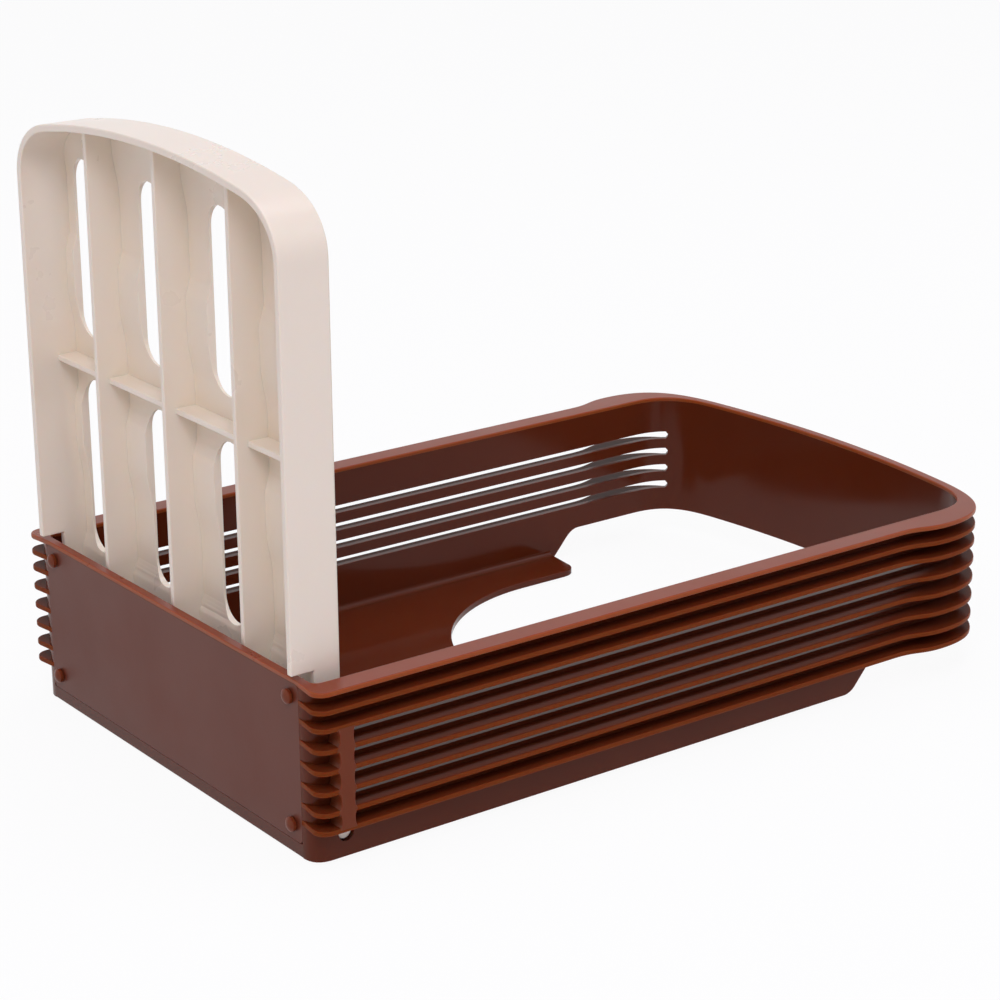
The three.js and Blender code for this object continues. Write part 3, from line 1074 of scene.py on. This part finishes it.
@dataclass
class EndPanel:
    """The flat panel of the closed end, with a domed stud near each corner."""

    face: float = 1.85
    thickness: float = 1.05
    half_width: float = 64.85
    bottom: float = 3.7
    top: float = 46.3
    corner: float = 1.5
    stud_side: float = 60.7
    stud_heights: Plan = (42.4, 8.0)
    head_height: float = 1.6
    head_side: float = 0.8
    head_radius: float = 1.95
    head_steps: int = 8
    shank_radius: float = 1.2
    shank_end: float = 4.0

    def build(self) -> None:
        """Builds and dresses the panel and its studs."""
        Piece("panel_plate", BROWN_PANEL, Body.TRAY, "end_panel", 0.18, 3).place(self.plate())
        spots = [(side, height) for side in Side for height in self.stud_heights]
        for number, spot in enumerate(spots, start=1):
            head = Piece(f"stud_head_{number}", BROWN_STUD, Body.TRAY, f"end_stud_{number}", 0.0)
            head.place(self.stud(*spot))

    def plate(self) -> BMesh:
        """The panel with rounded corners.

        Returns:
            The mesh of the panel.
        """
        half, r = self.half_width, self.corner
        low, high = self.bottom + r, self.top - r
        centres = ((half - r, low), (half - r, high), (r - half, high), (r - half, low))
        points = []
        for centre, start in zip(centres, (-90, 0, 90, 180)):
            points += arc(centre, r, start, start + 90, 6)
        return prism([(self.face, y, z) for y, z in points], (self.thickness, 0, 0))

    def stud(self, side: Side, height: float) -> BMesh:
        """One domed stud.

        Args:
            side: Side of the tray.
            height: Height of its middle.

        Returns:
            The stud, its shank reaching into the end wall.
        """
        rise = self.head_height - self.head_side
        dome = (self.head_radius**2 + rise**2) / (2 * rise)
        half_angle = math.asin(self.head_radius / dome)
        angles = [half_angle * step / self.head_steps for step in range(self.head_steps + 1)]
        profile = [(dome * (1 - math.cos(angle)), dome * math.sin(angle)) for angle in angles]
        profile += [(self.head_height, self.head_radius), (self.head_height, self.shank_radius)]
        profile += [(self.shank_end, self.shank_radius), (self.shank_end, 0.0)]
        bm = bmesh.new()
        edges = chain(bm, [(x, r, 0.0) for x, r in profile])
        turn = {"cent": (0, 0, 0), "axis": (1, 0, 0), "angle": 2 * math.pi, "steps": SIDES}
        bmesh.ops.spin(bm, geom=[*bm.verts, *edges], use_merge=True, **turn)
        bmesh.ops.remove_doubles(bm, verts=bm.verts, dist=WELD)
        bmesh.ops.recalc_face_normals(bm, faces=bm.faces)
        place = Vector((0.0, side.value * self.stud_side, height))
        bmesh.ops.translate(bm, vec=place, verts=bm.verts)
        return bm


# The loaf board


@dataclass
class LoafBoard:
    """The board that the loaf stands against: flange, vented web, ribs and shelf."""

    half: float = 65.0
    flange: float = 2.0
    flange_short: float = 0.4
    top: float = 171.0
    bottom: float = 3.35
    back: float = 14.4
    notch_face: float = 6.6
    notch_top: float = 49.0
    corner: float = 16.0
    arch_rise: float = 4.2
    arch_steps: int = 16
    thick: float = 2.3
    thin: float = 0.7
    web_inset: float = 0.6
    wave_drop: float = 39.5
    wave_pitch: float = 42.75
    wave_thin_share: float = 0.42
    wave_full_share: float = 0.70
    wave_softening: tuple[float, ...] = (-2.0, -1.0, 0.0, 1.0, 2.0)
    wave_step_levels: tuple[float, ...] = (-2.5, -1.5, -0.5, 0.5, 1.5, 2.5)
    wave_count: int = 4
    slope_steps: int = 6
    rib_pitch: float = 35.0
    rib_thickness: float = 1.6
    rib_front: float = 4.6
    rib_lift: float = 0.05
    shelf_front: float = 7.9
    shelf_top: float = 100.2
    shelf_thickness: float = 1.6
    vent_width: float = 12.6
    vent_length: float = 49.2
    vent_from_shelf: float = 6.0
    vent_steps: int = 14
    vent_columns: tuple[float, ...] = (-1.5, -0.5, 0.5, 1.5)
    boss_side: float = 62.0
    boss_length: float = 3.2
    boss_radius: float = 3.0
    pivot: Plan = PIVOT

    def build(self) -> None:
        """Builds and dresses every piece of the board."""
        for name, finish, rounding, steps, skin, shape in (
            ("board_flange", IVORY, 0.4, 3, self.flange, self.flange_skin),
            ("board_web", IVORY_PAINTED_WARM_LIGHT, 0.25, 2, 0.0, self.web),
            ("board_stiffeners", IVORY, 0.3, 2, 0.0, self.stiffeners),
            ("board_bosses", IVORY, 0.0, 2, 0.0, self.bosses),
        ):
            Piece(name, finish, Body.BOARD, "board", rounding, steps, skin).place(shape())

    def half_arch(self, inset: float) -> list[Plan]:
        """Front outline of the left half above the straight side.

        Args:
            inset: Distance inside the outer outline.

        Returns:
            Points from the top of the straight side to the middle plane.
        """
        half, top = self.half - inset, self.top - inset
        radius = self.corner - inset
        shoulder = half - radius
        shoulder_top = top - self.arch_rise
        side_top = shoulder_top - radius
        handle = HANDLE * radius
        lean = 2 * self.arch_rise / shoulder
        low, start, end = (half, side_top), (shoulder, shoulder_top), (-shoulder, shoulder_top)
        handles = (half, side_top + handle), (shoulder + handle, shoulder_top - lean * handle)
        corner = curve((low, *handles, start), self.arch_steps)
        arch = curve((start, (0.0, top + self.arch_rise), end), self.arch_steps, until=0.5)
        return [low, *corner, *arch]

    def flange_skin(self) -> BMesh:
        """The flange as a single skin, with the notch at its foot.

        Returns:
            Both halves in one mesh, without thickness.
        """
        bm = bmesh.new()
        side = [(self.half, self.bottom), (self.half, self.notch_top)]
        outline = [(0.0, self.bottom), *side, *self.half_arch(0.0)]
        row = chain(bm, [(0.0, y, z) for y, z in outline])
        row = drawn(bm, row, (self.notch_face, 0, 0))
        drawn(bm, row, (self.back - self.flange_short - self.notch_face, 0, 0))
        without(bm, lambda centre: centre.x < self.notch_face and centre.z < self.notch_top)
        mirrored(bm)
        turned_out(bm, axis=2)
        return bm

    def web_front(self, z: float) -> float:
        """Place of the wavy side of the web at one height.

        Args:
            z: Height in millimetres.

        Returns:
            Place along the tray.
        """
        first = self.top - self.wave_drop
        wave = max(0, math.ceil((first - z) / self.wave_pitch))
        above = (z - first) / self.wave_pitch + wave
        fall = (self.wave_full_share - above) / (self.wave_full_share - self.wave_thin_share)
        fall = min(1.0, max(0.0, fall))
        return self.back - self.thick + (self.thick - self.thin) * fall * fall * (3 - 2 * fall)

    def soft_front(self, z: float) -> float:
        """The wavy side at one height, with its steps eased over a few millimetres."""
        reach = self.wave_softening
        return sum(self.web_front(z + shift) for shift in reach) / len(reach)

    def web_levels(self) -> list[float]:
        """Heights at which the web is divided, close together at each step and slope.

        Returns:
            The heights in millimetres.
        """
        thin, full, steps = self.wave_thin_share, self.wave_full_share, self.slope_steps
        slope = [self.wave_pitch * (thin + (full - thin) * k / steps) for k in range(steps + 1)]
        levels = []
        for wave in range(self.wave_count):
            step = self.top - self.wave_drop - wave * self.wave_pitch
            levels += [step + shift for shift in (*self.wave_step_levels, *slope)]
        return [level for level in levels if self.bottom + 1 < level < self.top - 2]

    def web(self) -> BMesh:
        """The vented web, smooth towards the loaf and shingled behind.

        Returns:
            The mesh of the web, closed all round.
        """
        bm = bmesh.new()
        inset = self.web_inset
        right = [(self.half - inset, self.bottom + inset), *self.half_arch(inset)]
        left = [(-y, z) for y, z in reversed(right)]
        edges = chain(bm, [(self.back, y, z) for y, z in right[:-1] + left], closed=True)
        for column in self.vent_columns:
            for loop in self.vents(column * self.rib_pitch):
                edges += chain(bm, [(self.back, y, z) for y, z in loop], closed=True)
        bmesh.ops.triangle_fill(bm, use_beauty=True, use_dissolve=False, edges=edges)
        for height in self.web_levels():
            divided(bm, (0, 0, height), (0, 0, 1))
        out = bmesh.ops.extrude_face_region(bm, geom=list(bm.faces), use_keep_orig=True)
        for vert in vertices(out["geom"]):
            vert.co.x = self.soft_front(vert.co.z)
        bmesh.ops.recalc_face_normals(bm, faces=bm.faces)
        return bm

    def vents(self, y: float) -> list[list[Plan]]:
        """Outlines of the vent above the shelf and of the one below it.

        Args:
            y: Middle of both.

        Returns:
            The two outlines.
        """
        r, steps = self.vent_width / 2, self.vent_steps
        length, gap = self.vent_length, self.vent_from_shelf
        return [
            arc((y, low + length - r), r, 0, 180, steps) + arc((y, low + r), r, 180, 360, steps)
            for low in (self.shelf_top + gap, self.shelf_top - gap - length)
        ]

    def stiffeners(self) -> BMesh:
        """The three upright ribs and the cross shelf.

        Returns:
            All four in one mesh.
        """
        web, axis = self.back - self.thin / 2, self.pivot[1]
        low = self.bottom + self.rib_lift
        r = axis - low
        foot = arc((self.rib_front + r, axis), r, 180, 270, CORNER_STEPS)
        parts = []
        for y in (-self.rib_pitch, 0.0, self.rib_pitch):
            fall = self.arch_rise * (y / (self.half - self.corner)) ** 2
            top = self.top - self.flange / 2 - fall
            profile = [*foot, (web - r, low), (web, axis), (web, top), (self.rib_front, top)]
            start = y - self.rib_thickness / 2
            parts.append(prism([(x, start, z) for x, z in profile], (0, self.rib_thickness, 0)))
        half, front, top = self.half - self.flange / 2, self.shelf_front, self.shelf_top
        under = top - self.shelf_thickness
        section = ((front, under), (web, under), (web, top), (front, top))
        parts.append(prism([(x, -half, z) for x, z in section], (0, 2 * half, 0)))
        return joined(parts)

    def bosses(self) -> BMesh:
        """The bosses inside the flange that hold the pins.

        Returns:
            Both bosses in one mesh.
        """
        return joined(
            across(self.pivot, side.value * self.boss_side, self.boss_length, self.boss_radius)
            for side in Side
        )


@dataclass
class HingePin:
    """One stub pin with its collar."""

    side: Side
    pivot: Plan = PIVOT
    radius: float = 2.0
    collar_radius: float = 3.4
    inner: float = 60.4
    outer: float = 69.3
    collar: Plan = (65.3, 68.1)
    sides: int = 48

    def build(self) -> None:
        """Builds and dresses the pin."""
        spans = ((self.inner, self.outer, self.radius), (*self.collar, self.collar_radius))
        parts = [
            across(self.pivot, self.side.value * (low + high) / 2, high - low, radius, self.sides)
            for low, high, radius in spans
        ]
        name = f"pin_{self.side.name.lower()}"
        Piece(name, IVORY, Body.BOARD, f"hinge_{name}", 0.3, 3).place(joined(parts))


# The studio


@dataclass(frozen=True)
class Lamp:
    """A square soft lamp."""

    name: str
    place: Triple
    size: float
    power: float


@dataclass
class Studio:
    """A pale floor, soft lamps and the camera at the viewing angle of the photograph."""

    lens: float = 99.53
    eye: Triple = (-0.44725, -0.59403, 0.30514)
    azimuth: float = -36.43
    elevation: float = 18.80
    roll: float = -0.387
    sensor: float = 36.0
    clip: Plan = (0.01, 20.0)
    tint: Triple = (0.91, 0.885, 1.0)
    sky_strength: float = 0.40
    aim: Triple = (0.0, 0.0, 0.05)
    floor_size: float = 6.0
    floor_level: float = -0.0004
    floor_white: float = 0.92
    lamps: tuple[Lamp, ...] = (
        Lamp("key", (-0.9, -1.0, 1.5), 0.9, 15.8),
        Lamp("top", (0.15, 0.1, 1.8), 1.2, 9.4),
        Lamp("side", (1.3, -0.9, 0.9), 0.9, 4.5),
    )

    def build(self) -> None:
        """Sets up the floor, the sky, the lamps and the camera."""
        self._floor()
        self._sky()
        for lamp in self.lamps:
            self._hang(lamp)
        self._camera()
        bpy.context.scene.view_settings.view_transform = "Standard"

    def _floor(self) -> None:
        """A wide floor, white where it is seen, that keeps the object's shadow."""
        bm = bmesh.new()
        bmesh.ops.create_grid(bm, x_segments=1, y_segments=1, size=self.floor_size)
        bmesh.ops.translate(bm, vec=(0, 0, self.floor_level), verts=bm.verts)
        mesh = baked("floor", bm)
        material = bpy.data.materials.new("pale_floor")
        material.use_nodes = True
        tree = material.node_tree
        shader = tree.nodes["Principled BSDF"]
        feed(shader, {"Base Color": (0.9, 0.9, 0.9, 1.0), "Roughness": 0.9})
        amount = node(tree, "Math", self._seen(tree), self.floor_white, operation="MULTIPLY")
        white = node(tree, "Emission", Color=(1, 1, 1, 1), Strength=1.0)
        mix = node(tree, "MixShader", amount, shader, white)
        feed(tree.nodes["Material Output"], {"Surface": mix})
        mesh.materials.append(material)
        linked("floor", mesh)

    def _seen(self, tree: NodeTree) -> Node:
        """Tells rays that show the background, straight or in a reflection, from rays of light.

        Args:
            tree: Node tree that asks.

        Returns:
            A node whose value is one where the background is seen.
        """
        rays = node(tree, "LightPath").outputs
        glossy = node(
            tree, "Math", rays["Is Glossy Ray"], rays["Is Transmission Ray"], operation="MAXIMUM"
        )
        return node(tree, "Math", rays["Is Camera Ray"], glossy, operation="MAXIMUM")

    def _sky(self) -> None:
        """White all round: plain light on the object, full white where it is seen."""
        world = bpy.data.worlds.new("studio")
        bpy.context.scene.world = world
        world.use_nodes = True
        tree = world.node_tree
        tree.nodes.clear()
        tint = (*self.tint, 1.0)
        light = node(tree, "Background", Color=tint, Strength=self.sky_strength)
        white = node(tree, "Background", Color=(1, 1, 1, 1), Strength=1.0)
        mix = node(tree, "MixShader", self._seen(tree), light, white)
        node(tree, "OutputWorld", Surface=mix)

    def _hang(self, lamp: Lamp) -> None:
        """Adds one lamp, aimed at the object.

        Args:
            lamp: Lamp to add.
        """
        data = bpy.data.lights.new(lamp.name, "AREA")
        data.size = lamp.size
        data.energy = lamp.power
        data.color = self.tint
        made = linked(lamp.name, data)
        made.location = lamp.place
        aim = Vector(self.aim) - Vector(lamp.place)
        made.rotation_euler = aim.to_track_quat("-Z", "Y").to_euler()

    def _camera(self) -> None:
        """Puts the camera where the photograph was taken."""
        a, e, r = (math.radians(v) for v in (self.azimuth, self.elevation, self.roll))
        back = Vector((math.sin(a) * math.cos(e), -math.cos(a) * math.cos(e), math.sin(e)))
        right = Vector((math.cos(a), math.sin(a), 0.0))
        up = back.cross(right)
        tilted = right * math.cos(r) + up * math.sin(r)
        upright = up * math.cos(r) - right * math.sin(r)
        turn = Matrix((tilted, upright, back)).transposed()
        data = bpy.data.cameras.new("camera")
        data.lens = self.lens
        data.sensor_width = self.sensor
        data.clip_start, data.clip_end = self.clip
        camera = linked("camera", data)
        camera.matrix_world = Matrix.Translation(self.eye) @ turn.to_4x4()
        bpy.context.scene.camera = camera


def main() -> None:
    """Builds the guide and the studio."""
    pins = [HingePin(side) for side in Side]
    for group in (Tray(), EndPanel(), LoafBoard(), *pins, Studio()):
        group.build()
    bpy.context.view_layer.update()


if __name__ == "__main__":
    main()
